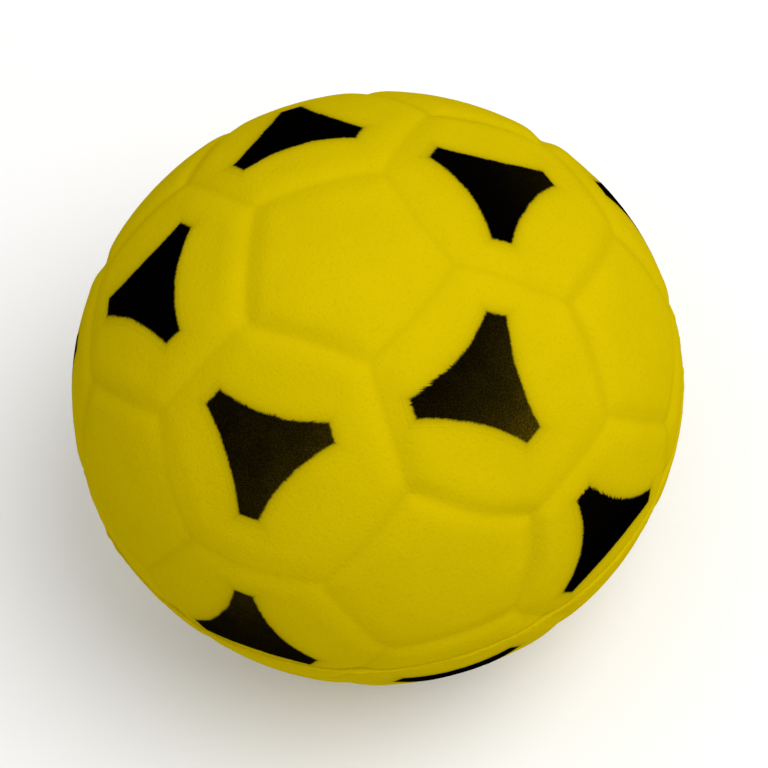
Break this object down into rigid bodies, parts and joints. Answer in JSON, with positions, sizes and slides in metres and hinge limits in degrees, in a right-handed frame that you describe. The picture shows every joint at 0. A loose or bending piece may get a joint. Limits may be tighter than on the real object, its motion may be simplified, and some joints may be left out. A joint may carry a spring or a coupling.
{
  "type": "stress ball",
  "caption": "Palm-size foam squeeze ball with a football panel relief, a raised parting line and black three-pointed paint marks.",
  "frame": {"origin": "centre of the ball, on the mould axis and in the plane of the parting line", "axes": "+Z along the mould axis through the upper five-sided panel; -Y is the front, through the five-sided panel below it"},
  "size_m": [0.0706, 0.0706, 0.07],
  "materials": {
    "skin": "matt fine-celled foam skin",
    "flash": "matt trimmed foam",
    "foam": "open-celled foam",
    "paint": "thin sprayed matt paint"
  },
  "bodies": {
    "lower_half": {"foam_core": "foam", "lower_skin": "skin", "parting_flash": "flash", "lower_mark_1": "paint", "lower_mark_2": "paint", "lower_mark_3": "paint", "lower_mark_4": "paint", "lower_mark_5": "paint", "lower_mark_6": "paint", "lower_mark_7": "paint", "lower_mark_8": "paint", "lower_mark_9": "paint", "lower_mark_10": "paint"},
    "upper_half": {"upper_skin": "skin", "upper_mark_1": "paint", "upper_mark_2": "paint", "upper_mark_3": "paint", "upper_mark_4": "paint", "upper_mark_5": "paint", "upper_mark_6": "paint", "upper_mark_7": "paint", "upper_mark_8": "paint", "upper_mark_9": "paint", "upper_mark_10": "paint"}
  },
  "joints": [
    {"name": "squeeze", "type": "slide", "parent": "lower_half", "child": "upper_half", "axis": [0, 0, -1], "range_m": [0, 0.028], "stiffness_N_per_m": 2500, "deforming": ["foam_core", "upper_skin", "lower_skin", "parting_flash", "upper_mark_1", "upper_mark_2", "upper_mark_3", "upper_mark_4", "upper_mark_5", "upper_mark_6", "upper_mark_7", "upper_mark_8", "upper_mark_9", "upper_mark_10", "lower_mark_1", "lower_mark_2", "lower_mark_3", "lower_mark_4", "lower_mark_5", "lower_mark_6", "lower_mark_7", "lower_mark_8", "lower_mark_9", "lower_mark_10"]}
  ]
}
